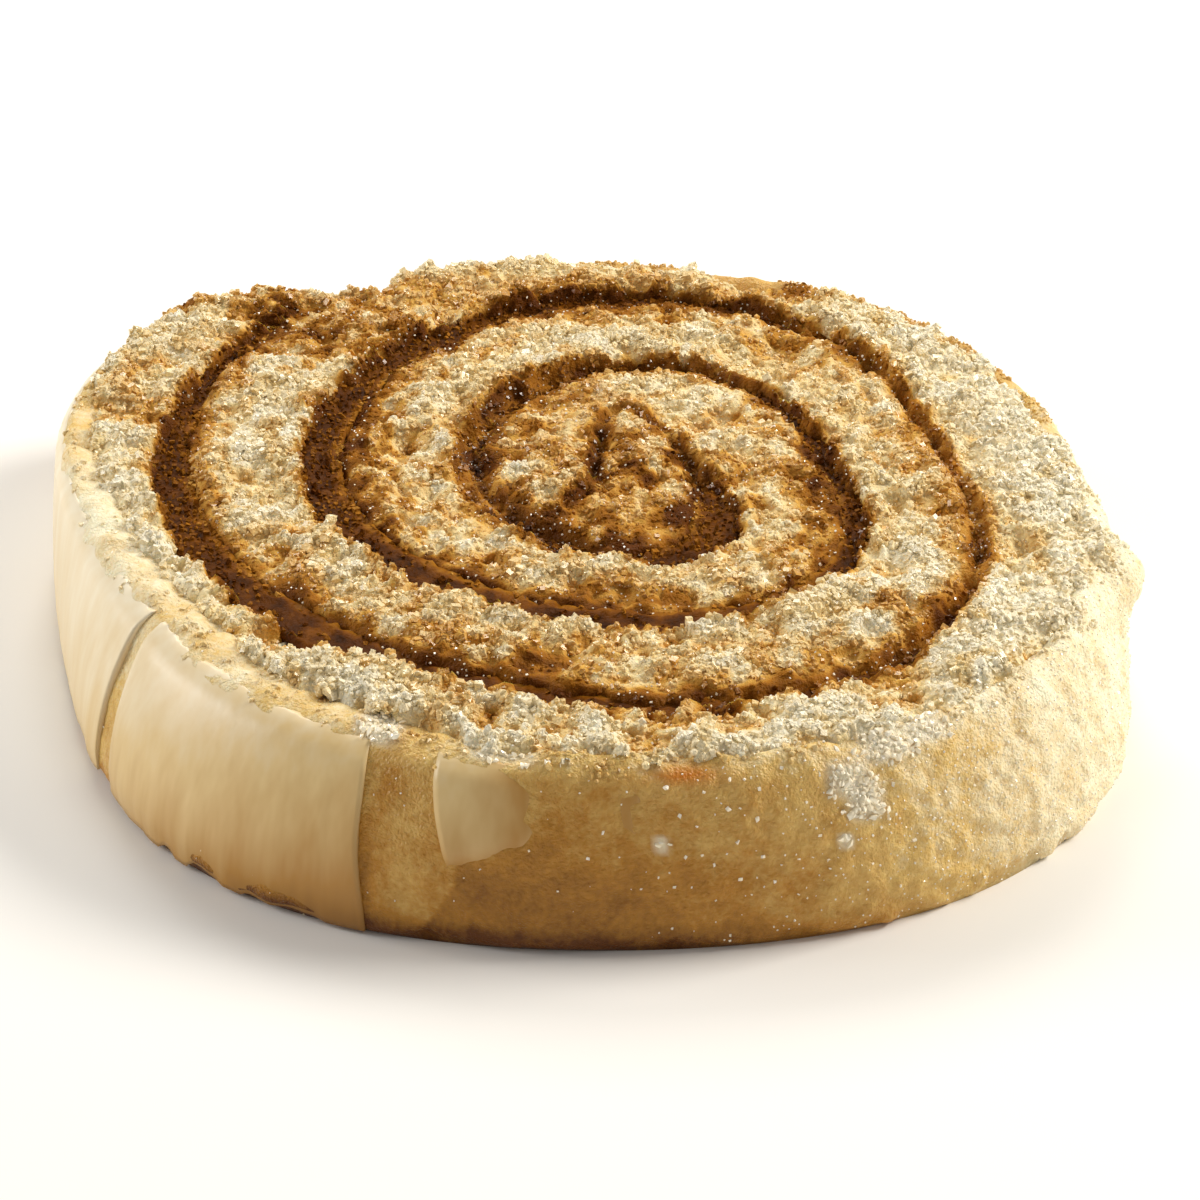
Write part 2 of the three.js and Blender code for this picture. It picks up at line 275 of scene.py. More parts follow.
station_turn = SPIRAL_TURNS * np.linspace(0, 1, int(SPIRAL_TURNS * STATIONS_PER_TURN)) ** 0.7
station_place = spiral_point(station_turn)
station_half = filling_width(station_turn) / 2
station_strength = np.interp(station_turn, *zip(*FILLING_STRENGTH))
station_ahead = np.gradient(station_place, axis=0)
station_ahead /= np.linalg.norm(station_ahead, axis=1)[:, None]
station_step = np.linalg.norm(np.diff(station_place, axis=0), axis=1)
station_along = np.concatenate([[0], np.cumsum(station_step)])
print("filling is", round(float(station_along[-1])), "mm long in", len(station_turn), "stations")


def filling_distance(x, y):
    """Distance past the filling's edge (negative inside it), 1 on its outer side, and the
    nearest station of the spiral."""
    edge = np.full(x.shape, 1e9)
    outward = np.zeros(x.shape)
    station = np.zeros(x.shape, dtype=int)
    for start in range(0, len(x), 4000):
        part = slice(start, start + 4000)
        dx = x[part, None] - station_place[None, :, 0]
        dy = y[part, None] - station_place[None, :, 1]
        past = np.hypot(dx, dy) - station_half[None, :]
        nearest = past.argmin(axis=1)
        rows = np.arange(len(nearest))
        edge[part] = past[rows, nearest]
        ahead = station_ahead[nearest]
        side = ahead[:, 0] * dy[rows, nearest] - ahead[:, 1] * dx[rows, nearest]
        outward[part] = side > 0
        station[part] = nearest
    return edge, outward, station


# %% [markdown]
# ## Unevenness
# Torn sponge is rough at every size: broad waves from the knife, lumps of crumb about a
# millimetre across, and pores where bubbles baked. Simple repeatable noise gives the
# waves, and a scatter of domes and bowls, one to a cell, gives the lumps and the pores.


# %% Noise, lumps and pores
def scatter(column, row, seed):
    """A repeatable number from 0 to 1 for each cell of a grid."""
    wave = np.sin(column * 127.1 + row * 311.7 + seed * 74.7) * 43758.5453
    return wave - np.floor(wave)


def noise(x, y, seed):
    """Smooth noise from -1 to 1 with one cell to each unit."""
    column, row = np.floor(x), np.floor(y)
    u, v = smooth_step(x - column, 0, 1), smooth_step(y - row, 0, 1)
    low = scatter(column, row, seed) * (1 - u) + scatter(column + 1, row, seed) * u
    high = scatter(column, row + 1, seed) * (1 - u) + scatter(column + 1, row + 1, seed) * u
    return 2 * (low * (1 - v) + high * v) - 1


def domes(x, y, spacing, seed):
    """Height from 0 to 1 of round lumps, one to each cell, uneven in size and height."""
    tallest = np.zeros(x.shape)
    column, row = np.floor(x / spacing), np.floor(y / spacing)
    for i in (-1, 0, 1):
        for j in (-1, 0, 1):
            cell_x, cell_y = column + i, row + j
            away_x = x / spacing - cell_x - scatter(cell_x, cell_y, seed)
            away_y = y / spacing - cell_y - scatter(cell_x, cell_y, seed + 1)
            size = 0.45 + 0.35 * scatter(cell_x, cell_y, seed + 2)
            inside = np.clip(1 - (away_x ** 2 + away_y ** 2) / size ** 2, 0, 1)
            height = 0.35 + 0.65 * scatter(cell_x, cell_y, seed + 3)
            tallest = np.maximum(tallest, height * np.sqrt(inside))
    return tallest


def ridges(x, y, spacing, seed):
    """Height from 0 to 1 of sharp torn ridges about that far apart."""
    return (1 - np.abs(noise(x / spacing, y / spacing, seed))) ** 2


# Layers of the torn relief, in millimetres: spacing, height, seed.
WAVES = [(9, 0.35, 0), (4, 0.3, 1)]
TEARS = [(2.3, 0.4, 2), (1.2, 0.35, 12)]
LUMPS = [(1.3, 0.35, 42), (0.7, 0.3, 62)]
PORES = (3.1, 0.7, 22)
HOLES = (8.5, 1.4, 32)
PORE_STEEPNESS = 2
HOLE_STEEPNESS = 6
RELIEF_MIDDLE = 0.6
TEAR_BEND = 0.5
TEAR_BEND_SPACING = 1.3


def crumb_relief(x, y, seed):
    """Relief in millimetres of torn crumb: waves, ridges and grains up, pores down."""
    bend_x, bend_y = x / TEAR_BEND_SPACING, y / TEAR_BEND_SPACING
    torn_x = x + TEAR_BEND * noise(bend_x, bend_y, seed + 50)
    torn_y = y + TEAR_BEND * noise(bend_x, bend_y, seed + 51)
    total = 0 * x - RELIEF_MIDDLE
    for spacing, height, own in WAVES:
        total += height * noise(x / spacing, y / spacing, seed + own)
    for spacing, height, own in TEARS:
        total += height * ridges(torn_x, torn_y, spacing, seed + own)
    for spacing, height, own in LUMPS:
        total += height * domes(torn_x, torn_y, spacing, seed + own)
    for (spacing, depth, own), steepness in ((PORES, PORE_STEEPNESS), (HOLES, HOLE_STEEPNESS)):
        total -= depth * domes(torn_x, torn_y, spacing, seed + own) ** steepness
    return total


# %% [markdown]
# ## The sponge
# The sponge is two closed meshes. The body has the skin and the face that it lies on, and
# its skin rolls in over the rim. The crumb sits inside that roll, as on a real cake, so
# the two meet in a ragged line. A trench follows the filling on both faces. The meshes
# store what they look like at each point: how much filling the crumb has drunk, with painted
# shade added in its pits and over the front of the cut, and where it is skin instead of crumb.

# %% Rings of a disc
def ring_points(rings, loose):
    """Angle in degrees and share of the radius for the points of a disc, ring by ring."""
    angle, share = [np.zeros(1)], [np.zeros(1)]
    for ring in range(1, rings + 1):
        step = np.arange(6 * ring)
        shift = loose if ring < rings else 0
        turn = step + shift * (scatter(step, ring, 41) - 0.5)
        angle.append(360 * turn / (6 * ring))
        share.append((ring + shift * (scatter(step, ring, 42) - 0.5)) / rings)
    return np.concatenate(angle), np.concatenate(share)


def ring_faces(rings):
    """Triangles of that disc, facing up."""
    faces = []
    first = [0] + [1 + 3 * ring * (ring - 1) for ring in range(1, rings + 1)]
    for ring in range(1, rings + 1):
        count, below = 6 * ring, max(1, 6 * (ring - 1))
        sector, k = np.divmod(np.arange(count), ring)
        outer = first[ring] + np.arange(count)
        outer_next = first[ring] + (np.arange(count) + 1) % count
        inner = first[ring - 1] + (sector * (ring - 1) + k) % below
        faces.append(np.stack([outer, outer_next, inner], axis=1))
        wide = k < ring - 1
        inner_next = first[ring - 1] + (sector * (ring - 1) + k + 1) % below
        faces.append(np.stack([outer_next, inner_next, inner], axis=1)[wide])
    return np.concatenate(faces)


def loop_faces(upper, lower):
    """Triangles between two loops of the same number of points, facing outwards."""
    ahead = (np.arange(len(upper)) + 1) % len(upper)
    return np.concatenate([np.stack([upper, lower, lower[ahead]], axis=1),
                           np.stack([upper, lower[ahead], upper[ahead]], axis=1)])


# %% Soak, skin and bake: what each point of the sponge looks like
# Golden places on the cut face, in millimetres: x, y, half width, half depth, how golden.
# The wide ones come first, then the small ones where the crumb has torn.
# The wide place in front at x -6, y -24 is partly painted shade: it darkens the front of the cut as
# well as gilding it.
GOLDEN_PLACES = [(4, 3, 20, 20, 0.28), (5, 2, 8, 8, 0.12), (-14, 2, 10.5, 10.5, 0.2),
                 (-6, -24, 22.4, 11, 0.14), (-20, 27, 7.75, 7.75, 0.5), (-36, 18, 4.9, 12.6, 0.24),
                 (35.4, -23.3, 1.6, 1.6, 0.55), (30, -29, 1.4, 1.4, 0.4),
                 (26.4, -18.3, 1.5, 1.5, 0.4), (30, -8.7, 1.6, 1.6, 0.35),
                 (17.8, 34, 2.2, 2.2, 0.5), (-32.7, 32.8, 1.8, 1.8, 0.5),
                 (-26, 31.4, 2.6, 2.6, 0.35)]
GOLDEN_BACK = (-2, 33, 17.3, 5.5)
GOLDEN_BACK_DEPTH = 0.34
# Where the pits get the most painted shade: x, y, half width, half depth.
PIT_SHADE_PLACE = (-4, -32, 24.5, 10)
OUTER_SOAK_REACH = 0.25
INNER_SOAK_REACH = 0.45
UNCURLED_SOAK_REACH = 1.05


def blot(x, y, place):
    """A soft-edged oval, 1 in its middle: place is (x, y, half width, half depth)."""
    at_x, at_y, half_width, half_depth = place
    return np.exp(-((x - at_x) / half_width) ** 2 - ((y - at_y) / half_depth) ** 2)


def soak_and_shade_amount(x, y, edge, outward, station, relief):
    """How much filling the crumb has drunk, 0 to 1: more on the inner side of each turn; painted
    shade is added in its pits and in front.
    """
    along, strength = station_along[station], station_strength[station]
    patchy = 1 + 0.8 * noise(x / 1.1, y / 1.1, 61) + 0.6 * noise(x / 3.5, y / 3.5, 62)
    streaky = 1 + 0.5 * noise(along / 6, edge / 0.5, 64)
    uncurled = smooth_step(station_turn[station], 0.3, 0.75)
    inner_reach = INNER_SOAK_REACH + uncurled * (UNCURLED_SOAK_REACH + 0.5 * noise(x / 7, y / 7, 63))
    reach = np.where(outward > 0.5, OUTER_SOAK_REACH, inner_reach)
    near = np.exp(-np.maximum(edge, 0) / (reach * np.clip(patchy * streaky, 0.5, 2.2)))
    gold = np.clip(patchy, 0, 2.2)
    total = 0.9 * near * (0.3 + 0.7 * strength)
    total += GOLDEN_BACK_DEPTH * blot(x, y, GOLDEN_BACK) * (0.6 + 0.4 * gold)
    for *place, depth in GOLDEN_PLACES:
        total += depth * gold * blot(x, y, place)
    freckles = 0.2 * smooth_step(noise(x / 1.7, y / 1.7, 66), 0.25, 0.8)
    # Pits are darker, partly from syrup gathered there and partly as painted shade, most in the
    # front place.
    pit_syrup_and_shade = (0.1 + 0.4 * blot(x, y, PIT_SHADE_PLACE)) * np.clip(-relief, 0, 1.5)
    return np.clip(total + freckles + pit_syrup_and_shade, 0, 1)


# How brown the skin is round the slice: angle and half width in degrees, then the brown
# that is there at every height, lower down and at the foot, and how much the rim is paler.
# The brown lower down and at the foot is partly baked crust, partly painted shade towards
# the base; the narrow side at 251 degrees is painted shade beside the middle panel's edge.
BAKE_AND_SHADE_SIDES = [(270, 31, 0.42, 0.18, 0.3, 0.45), (225, 38, 0.12, 0.25, 0.45, 0),
               (251, 1.6, 0.1, 0, 0, 0), (300, 16, 0.07, 0, 0, 0)]
PALEST_BAKE = 0.04
BACK_BAKE = 0.4
LOW_FILM_LEFT = 249.5
LOW_FILM_RIGHT = 258.6
LOW_FILM_PALENESS = 0.2


def low_film(angle, share):
    """1 where the thin film low between the panels covers the skin, with a crisp right edge."""
    right_edge = LOW_FILM_RIGHT - 3.4 * smooth_step(0.42 - share, 0, 0.42)
    right_of_left = smooth_step(angle, LOW_FILM_LEFT, LOW_FILM_LEFT + 2)
    left_of_right = 1 - smooth_step(angle, right_edge, right_edge + 0.5)
    return right_of_left * left_of_right * smooth_step(0.8 - share, 0, 0.5)


def bake_and_shade_amount(angle, share):
    """How brown the skin is: pale on the right, tan in front and darker towards the base, partly as
    painted shade, with a painted shade line beside the middle panel.
    """
    angle = angle % 360
    # Darker lower down and at the foot: partly baked crust, partly painted shade towards the base.
    low = smooth_step(1 - share, 0.1, 0.8)
    foot = smooth_step(1 - share, 0.82, 1.0)
    at_rim = smooth_step(share, 0.84, 0.97)
    back = np.clip(0.05 + 1.5 * np.sin(np.radians(angle)), 0, 1)
    total = PALEST_BAKE + BACK_BAKE * back - LOW_FILM_PALENESS * low_film(angle, share)
    for at, width, even, lower, at_foot, paler in BAKE_AND_SHADE_SIDES:
        brown = even * (1 - paler * at_rim) + lower * low + at_foot * foot
        total += brown * bell(angle, (at, 1, width))
    return np.clip(total, 0, 1)


# %% Cut face: the torn crumb that is seen from above
CRUMB_RINGS = 172
CRUMB_EDGE_DROP = 1.6
CRUMB_ROOT = 4.0
CRUMB_PEAK = 0.65
TRENCH_DEPTH = 1.7
TRENCH_RAGGEDNESS = 0.5
SOFT_LIP = (0.9, 1.7)
RAISED_LIP = (0.35, 1.2)
SHAGGY_REACH = 2.2
SMOOTH_REACH = 1.4
STREAK_HEIGHT = 0.3


def look_layers(mesh, looks):
    """Stores named numbers, one for each point of a mesh."""
    for name, values in looks.items():
        layer = mesh.attributes.new(name, "FLOAT", "POINT")
        layer.data.foreach_set("value", np.asarray(values, dtype=np.float32))


def crumb_mesh():
    """The torn cut face, closed below by a shallow cone inside the body."""
    angle, share = ring_points(CRUMB_RINGS, 0.6)
    x, y = around(angle, share * (skin_radius(angle, 1.0) - lip_width(angle)))
    edge, outward, station = filling_distance(x, y)
    strength = station_strength[station]
    ragged = noise(x / 0.9, y / 0.9, 51) + 0.8 * noise(x / 2.3, y / 2.3, 52)
    covered = 0.5 * (1 - strength)
    trench = 1 - smooth_step(edge + covered + TRENCH_RAGGEDNESS * ragged, -0.6, 0.5)
    trench = trench * (0.3 + 0.7 * strength)
    away = np.maximum(edge, 0)
    outside = outward * (edge > 0)
    soft_lip = SOFT_LIP[0] * np.exp(-away / SOFT_LIP[1]) * (1 - outward) * strength
    shaggy = outside * np.exp(-away / SHAGGY_REACH) * strength
    raised_lip = RAISED_LIP[0] * outside * np.exp(-away / RAISED_LIP[1])
    beside = np.exp(-away / SMOOTH_REACH) * (1 - outside) * strength
    streaks = STREAK_HEIGHT * noise(station_along[station] / 4, edge / 0.4, 54)
    relief = crumb_relief(x, y, 1) * (1 - 0.75 * beside + 0.7 * shaggy) + streaks * beside
    to_rim = (1 - share) * RIM_RADIUS + 0.7 * ragged
    rim_drop = CRUMB_EDGE_DROP * (1 - smooth_step(to_rim, -0.6, 1.5))
    z = SLICE_THICKNESS + relief + raised_lip - TRENCH_DEPTH * trench - soft_lip - rim_drop
    z = np.minimum(z, SLICE_THICKNESS + CRUMB_PEAK + 0.15 * ragged)
    places = np.concatenate([np.stack([x, y, z], axis=1),
                             [[*OUTLINE_CENTRE, SLICE_THICKNESS - 2 * CRUMB_ROOT]]])
    rim_points = 6 * CRUMB_RINGS
    rim = np.arange(rim_points) + len(x) - rim_points
    tip = np.full(rim_points, len(x))
    cone = np.stack([rim, tip, np.roll(rim, -1)], axis=1)
    mesh = bpy.data.meshes.new("sponge_crumb")
    faces = np.concatenate([ring_faces(CRUMB_RINGS), cone])
    mesh.from_pydata((places * MM).tolist(), [], faces.tolist())
    clear = smooth_step(edge, -0.5, 0.3) * smooth_step(to_rim, 0.1, 1.0)
    bare = np.zeros(len(x))
    looks = {"soak_and_shade": soak_and_shade_amount(x, y, edge, outward, station, relief), "skin": bare, "bake_and_shade": bare,
             "clear": clear * (1 - 0.8 * beside), "relief": relief,
             "sunk": (1 - smooth_step(edge, -0.6, 0.2)) * (1 - 0.9 * strength)}
    look_layers(mesh, {name: np.append(values, 0) for name, values in looks.items()})
    mesh.shade_smooth()
    return mesh


crumb = bpy.data.objects.new("sponge_crumb", crumb_mesh())
scene.collection.objects.link(crumb)
print("cut face has", len(crumb.data.polygons), "triangles")

# %% Body: the skin, the roll of skin over the rim, and the face that the slice lies on
BASE_RINGS = 130
SIDE_ROWS = 36
SHOULDER_START = 0.84
SHOULDER_ROUNDING = 0.75
FOOT_END = 0.08
FOOT_ROUNDING = 0.5
RIM_FALL = 0.55
LIP_ROWS = [(0.3, 0.1), (0.6, 0.25), (0.9, 0.5), (1.3, 1.0), (1.8, 2.0)]
LIP_STRETCH = 0.9
BODY_ROOT = 5.0
# Waves of the skin: spacing along and up, height everywhere and more on the right, seed.
SKIN_WAVES = [(0.75, 0.75, 0.05, 0.18, 81), (1.7, 1.7, 0.1, 0.03, 82), (8, 12, 0.28, 0, 83)]
CRUMBLY_SIDE = (-35, 1, 48)
PRESSED_SHARE = 0.45
BASE_TRENCH_DEPTH = 1.1
BASE_SOAK_SHARE = 0.7
FOOT_LIFT = 0.7
FOOT_LIFT_SPACING = 1.7
FOOT_LIFT_SHARE = 0.14
BROKEN_FOOT = (-45, 0.8, 25)
LOW_FILM_THICKNESS = 0.2
RIM_WAVE = 0.35


def shoulder_rounding(share):
    """How far the skin rolls inwards near the rim, in millimetres."""
    upper = np.clip((share - SHOULDER_START) / (1 - SHOULDER_START), 0, 1)
    return SHOULDER_ROUNDING * upper ** 2.5


def shoulder_fall(share):
    """How far the rolled skin drops below the cut, in millimetres."""
    upper = np.clip((share - SHOULDER_START) / (1 - SHOULDER_START), 0, 1)
    return RIM_FALL * upper ** 2


def skin_roughness(angle, z):
    """Unevenness of the skin in millimetres, finer and deeper on the crumbly right."""
    along = np.radians(angle) * BELLY_RADIUS
    total = 0 * along
    for spacing_along, spacing_up, height, more, seed in SKIN_WAVES:
        uneven = noise(along / spacing_along, z / spacing_up, seed)
        total += (height + more * bell(angle, CRUMBLY_SIDE)) * uneven
    return total


def foot_raggedness(angle):
    """Where the skin's foot has broken away, 0 to about 1, round the slice."""
    along = np.radians(angle) * BELLY_RADIUS
    return np.clip(noise(along / FOOT_LIFT_SPACING, 0 * angle, 84) + 0.2, 0, 1)


def skin_rows():
    """Places and looks of the skin, from the lip inside the rim down to the base's edge."""
    columns = 6 * BASE_RINGS
    rows = [(1.0, inward, fall) for inward, fall in LIP_ROWS[::-1]]
    rows += [(share, 0, 0) for share in np.linspace(1, 0, SIDE_ROWS + 1)[:-1]]
    angle = np.tile(360 * np.arange(columns) / columns, len(rows))
    share, inward, fall = (np.repeat([row[at] for row in rows], columns) for at in range(3))
    inward = inward * (1 + LIP_STRETCH * (lip_width(angle) - CRUMB_INSET))
    lower = np.clip((FOOT_END - share) / FOOT_END, 0, 1)
    rounding = shoulder_rounding(share) + FOOT_ROUNDING * lower ** 2
    z = share * SLICE_THICKNESS - shoulder_fall(share) - fall
    lift = (FOOT_LIFT + bell(angle, BROKEN_FOOT)) * foot_raggedness(angle)
    z = z + lift * np.clip(1 - share / FOOT_LIFT_SHARE, 0, 1)
    outward = skin_roughness(angle, z) + LOW_FILM_THICKNESS * low_film(angle, share)
    x, y = around(angle, skin_radius(angle, share) - rounding - inward + outward)
    z = z + RIM_WAVE * smooth_step(share, 0.9, 1) * noise(x / 1.4, y / 1.4, 85)
    return np.stack([x, y, z], axis=1), bake_and_shade_amount(angle, share), len(rows)


# Orange spots where syrup has run on the skin: angle, height, width and depth.
STAINS = [(280.5, 12.7, 2.6, 0.45), (224, 11.6, 0.4, 0.4)]


def spot_amount(angle, z, spots, sharpness):
    """0 to 1 on named spots of the skin; a higher even sharpness gives them flatter tops."""
    total = 0 * z
    for at, height, width, depth in spots:
        away = np.radians((angle - at + 180) % 360 - 180) * BELLY_RADIUS
        total += np.exp(-(away / width) ** sharpness - ((z - height) / depth) ** sharpness)
    return np.clip(total, 0, 1)


def body_mesh():
    """The closed body of the sponge."""
    side, side_bake_and_shade, row_count = skin_rows()
    angle, share = ring_points(BASE_RINGS, 0.5)
    x, y = around(angle, share * (skin_radius(angle, 0.0) - FOOT_ROUNDING))
    edge, outward, station = filling_distance(x, y)
    pressed = np.clip(0.1 - PRESSED_SHARE * crumb_relief(x, y, 201), 0, 0.9)
    trench = 1 - smooth_step(edge + 0.3 * noise(x / 0.9, y / 0.9, 53), -0.4, 0.4)
    z = (pressed + BASE_TRENCH_DEPTH * trench) * (1 - smooth_step(share, 0.95, 1))
    base = np.stack([x, y, z], axis=1)
    columns = 6 * BASE_RINGS
    faces = []
    for row in range(row_count - 1):
        upper = np.arange(columns) + row * columns
        faces.append(loop_faces(upper, upper + columns))
    last = np.arange(columns) + (row_count - 1) * columns
    rim = np.arange(columns) + len(side) + len(base) - columns
    faces.append(loop_faces(last, rim))
    faces.append(ring_faces(BASE_RINGS)[:, ::-1] + len(side))
    tip = np.full(columns, len(side) + len(base))
    first = np.arange(columns)
    faces.append(np.stack([first, np.roll(first, -1), tip], axis=1))
    top = [[*OUTLINE_CENTRE, SLICE_THICKNESS - BODY_ROOT]]
    mesh = bpy.data.meshes.new("sponge_body")
    places = np.concatenate([side, base, top]) * MM
    mesh.from_pydata(places.tolist(), [], np.concatenate(faces).tolist())
    base_soak = BASE_SOAK_SHARE * soak_and_shade_amount(x, y, edge, outward, station, 0)
    skin = np.concatenate([np.ones(len(side)), smooth_step(share, 0.93, 0.99), [0]])
    looks = {"soak_and_shade": np.concatenate([np.zeros(len(side)), base_soak, [0]]), "skin": skin,
             "bake_and_shade": np.concatenate([side_bake_and_shade, bake_and_shade_amount(angle, share * 0), [0]])}
    stain = spot_amount(skin_angle(side[:, 0], side[:, 1]), side[:, 2], STAINS, 2)
    looks["stain"] = np.append(stain, np.zeros(len(base) + 1))
    look_layers(mesh, looks)
    mesh.shade_smooth()
    return mesh


body = bpy.data.objects.new("sponge_body", body_mesh())
scene.collection.objects.link(body)
print("body has", len(body.data.polygons), "triangles")

# %% [markdown]
# ## Crumb and skin
# Sponge cake is a foam of egg, sugar and flour. Light sinks a millimetre or two into it,
# so its shadows stay warm and soft, and its sugar makes pin-prick glints. One function
# makes the skin, the solid crumb and the loose grains on it: the stored filling it has drunk,
# with painted shade in the crumb's pits, turns each from cream through gold to brown, and the
# stored skin turns it to the baked surface, whose brown has painted shade towards the foot.

# %% Sponge material
SOAK_STOPS = [(0.0, "faf0d4"), (0.2, "f0d8a0"), (0.42, "dba850"), (0.68, "a46a1e"), (1.0, "5c3006")]
SKIN_STOPS = [(0.0, "faefcd"), (0.3, "e4bf72"), (0.6, "bf8733"), (1.0, "6c3d10")]
STAIN = screen_colour("cc7a1c")
ICED = screen_colour("fbeed2")
SPONGE_SCATTER = (1.0, 0.85, 0.7)


def colour_ramp(tree, stops, socket):
    """A colour ramp with the given stops, driven by a socket."""
    ramp = add_node(tree, "ShaderNodeValToRGB", links={"Fac": socket})
    while len(ramp.color_ramp.elements) < len(stops):
        ramp.color_ramp.elements.new(0.5)
    for element, (at, code) in zip(ramp.color_ramp.elements, stops):
        element.position = at
        element.color = screen_colour(code)
    return ramp.outputs["Color"]


def read_look(tree, name):
    """A stored look of the piece, as a number."""
    settings = {"attribute_type": "GEOMETRY", "attribute_name": name}
    return add_node(tree, "ShaderNodeAttribute", settings).outputs["Fac"]


def size_noise(tree, size_mm, detail=3.0, stretch=(1, 1, 1)):
    """Noise over the piece whose features are about that many millimetres across."""
    place = add_node(tree, "ShaderNodeTexCoord").outputs["Object"]
    turned = add_node(tree, "ShaderNodeMapping", {"Scale": stretch}, {"Vector": place})
    settings = {"Scale": 1 / (size_mm * MM), "Detail": detail, "Roughness": 0.6}
    clouds = add_node(tree, "ShaderNodeTexNoise", settings, {"Vector": turned.outputs["Vector"]})
    return clouds.outputs["Fac"]


def scaled(tree, socket, factor, offset):
    """A socket times a factor, plus an offset that is a number or another socket."""
    settings, links = {"operation": "MULTIPLY_ADD", 1: factor}, {0: socket}
    if isinstance(offset, (int, float)):
        settings[2] = offset
    else:
        links[2] = offset
    return add_node(tree, "ShaderNodeMath", settings, links).outputs[0]


def clamped_sum(tree, one, other):
    """The sum of two sockets, kept from 0 to 1."""
    settings = {"operation": "ADD", "use_clamp": True}
    return add_node(tree, "ShaderNodeMath", settings, {0: one, 1: other}).outputs[0]


def bumps(tree, socket, strength, height_mm):
    """Shallow unevenness too fine for the mesh, from a socket of heights."""
    settings = {"Strength": strength, "Distance": height_mm * MM}
    return add_node(tree, "ShaderNodeBump", settings, {"Height": socket}).outputs["Normal"]


def sponge_material(name, roughness, shine, glow, scatter_mm, tone_swing, moist):
    """Baked sponge: crumb coloured by the filling it drank and painted pit shade, skin coloured by
    how brown it baked with painted shade near its foot, with a grainy bump.
    """
    material, tree = new_material(name)
    patches = size_noise(tree, 3.2, 1.0)
    specks = size_noise(tree, 0.55, 1.0)
    soak_and_shade = clamped_sum(tree, read_look(tree, "soak_and_shade"), scaled(tree, patches, 0.28, -0.14))
    blotches = scaled(tree, patches, 0.34, -0.32)
    bake_and_shade = clamped_sum(tree, read_look(tree, "bake_and_shade"), scaled(tree, specks, 0.3, blotches))
    crumb = colour_ramp(tree, SOAK_STOPS, soak_and_shade)
    skin = colour_ramp(tree, SKIN_STOPS, bake_and_shade)
    stained = add_node(tree, "ShaderNodeMix", {"data_type": "RGBA", 7: STAIN},
                       {"Factor": read_look(tree, "stain"), 6: skin})
    iced = add_node(tree, "ShaderNodeMix", {"data_type": "RGBA", 7: ICED},
                    {"Factor": read_look(tree, "icing"), 6: stained.outputs[2]})
    both = add_node(tree, "ShaderNodeMix", {"data_type": "RGBA"},
                    {"Factor": read_look(tree, "skin"), 6: crumb, 7: iced.outputs[2]})
    tone = scaled(tree, read_look(tree, "tone"), tone_swing, 1 - tone_swing / 2)
    shade = add_node(tree, "ShaderNodeVectorMath", {"operation": "SCALE"},
                     {0: both.outputs[2], "Scale": tone})
    add_surface(tree,
                {"Roughness": roughness, "IOR": 1.45, "Specular IOR Level": shine,
                 "Subsurface Weight": glow, "Subsurface Radius": SPONGE_SCATTER,
                 "Subsurface Scale": scatter_mm * MM,
                 "Coat Weight": moist, "Coat Roughness": 0.12},
                {"Base Color": shade.outputs[0],
                 "Normal": bumps(tree, size_noise(tree, 0.25, 1.0), 1.0, 0.2)})
    return material


baked_sponge = sponge_material("baked sponge skin", 0.38, 0.35, 0.4, 1.1, 0.0, 0.0)
torn_sponge = sponge_material("torn sponge crumb", 0.45, 0.06, 0.3, 1.1, 0.0, 0.0)
loose_crumb = sponge_material("loose sponge crumb", 0.35, 0.4, 0.0, 0.4, 0.14, 0.5)
wet_crumb = sponge_material("crumb soaked with filling", 0.35, 0.05, 0.0, 0.3, 0.2, 0.0)
for piece, look in ((crumb, torn_sponge), (body, baked_sponge)):
    piece.data.materials.append(look)
    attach(piece, "root")
    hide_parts("sponge")

# %% [markdown]
# ## Grains of crumb
# A knife tears sponge into grains that stand up from the cut. Thousands of small uneven
# lumps make that surface, so they are scattered by a node tree: it spreads points over
# the sponge, puts a low-sided ball on each, turns and sizes it at random, and then bends
# every ball by noise, so that no two are alike. Each kind of grain is one run of the tree.


# %% Node tree that scatters grains
def new_tree(name, inputs):
    """An empty geometry tree with named inputs of the given kinds, and what they give."""
    tree = bpy.data.node_groups.new(name, "GeometryNodeTree")
    for label, kind in {"Geometry": "Geometry", **inputs, "Material": "Material"}.items():
        tree.interface.new_socket(name=label, in_out="INPUT", socket_type="NodeSocket" + kind)
    tree.interface.new_socket(name="Geometry", in_out="OUTPUT", socket_type="NodeSocketGeometry")
    return tree, add_node(tree, "NodeGroupInput").outputs


def end_tree(tree, shape, material, smooth_links=None):
    """Smooths the shape, gives it its material and ends the tree with it."""
    smooth = add_node(tree, "GeometryNodeSetShadeSmooth", None,
                      {"Geometry": shape.outputs[0], **(smooth_links or {})})
    coated = add_node(tree, "GeometryNodeSetMaterial", None,
                      {"Geometry": smooth.outputs["Geometry"], "Material": material})
    add_node(tree, "NodeGroupOutput", None, {"Geometry": coated.outputs["Geometry"]})
    return tree


def stored(tree, name):
    """Reads a stored look in a node tree; name is plain words or a socket that gives them."""
    settings, links = {"data_type": "FLOAT"}, {}
    if isinstance(name, str):
        settings["Name"] = name
    else:
        links["Name"] = name
    return add_node(tree, "GeometryNodeInputNamedAttribute", settings, links).outputs["Attribute"]


def random_number(tree, seed, kind="FLOAT", settings=None, links=None):
    """A random number, or three, for each grain."""
    settings = {"data_type": kind, "Seed": seed, **(settings or {})}
    made = add_node(tree, "FunctionNodeRandomValue", settings, links)
    return made.outputs[1 if kind == "FLOAT" else 0]


